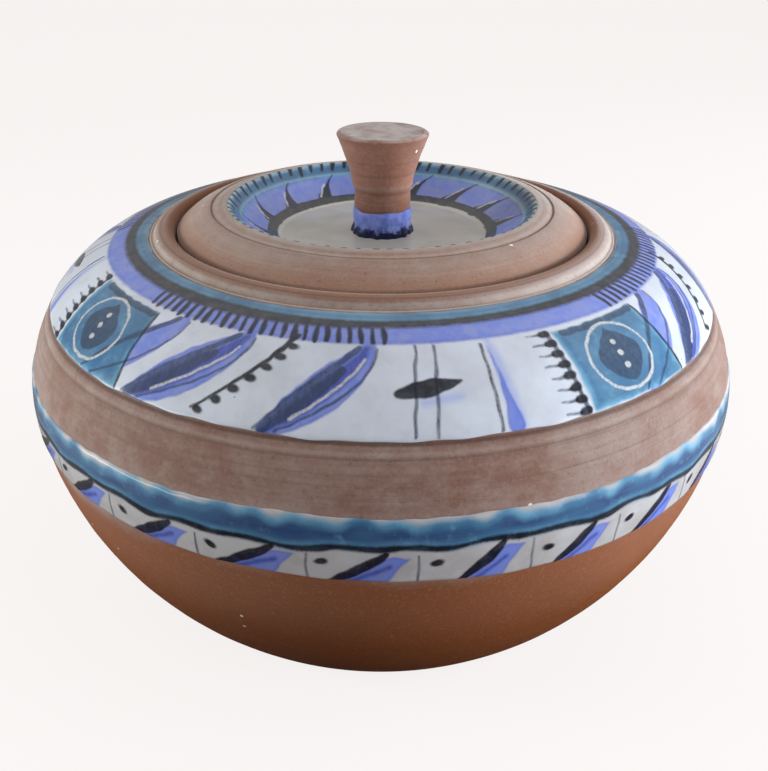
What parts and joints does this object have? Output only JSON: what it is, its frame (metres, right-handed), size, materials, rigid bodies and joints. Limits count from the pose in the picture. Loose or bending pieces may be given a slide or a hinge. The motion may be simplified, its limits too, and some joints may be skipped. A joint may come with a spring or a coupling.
{
  "type": "lidded earthenware casserole",
  "caption": "Wide, low, round-bellied earthenware pot with a drop-in domed lid, a well and flared knob on the lid, and painted glaze bands.",
  "frame": {"origin": "centre of the flat base", "axes": "+Z is the axis of throwing, up; -Y faces the front of the painted shoulder"},
  "size_m": [0.2602, 0.2602, 0.17],
  "materials": {
    "pot_clay": "unglazed, matte, finely turned",
    "shoulder_glaze": "glossy white glaze, painted in cobalt, turquoise and black",
    "belly_glaze": "glossy white glaze, painted in turquoise, cobalt and black",
    "interior_glaze": "glossy cream-white glaze",
    "lid_clay": "unglazed, matte, finely turned",
    "well_glaze": "glossy cream glaze, painted in turquoise, cobalt and black",
    "knob_clay": "unglazed, matte, finely turned",
    "collar_glaze": "glossy cobalt glaze"
  },
  "bodies": {
    "pot": {"pot_body": "pot_clay", "shoulder_glaze": "shoulder_glaze", "belly_glaze": "belly_glaze", "interior_glaze": "interior_glaze"},
    "lid": {"lid_body": "lid_clay", "lid_glaze": "well_glaze", "lid_knob": "knob_clay", "knob_glaze": "collar_glaze"}
  },
  "joints": [
    {"name": "lid_lift", "type": "slide", "parent": "pot", "child": "lid", "axis": [0, 0, 1], "range_m": [0, 0.12]}
  ]
}
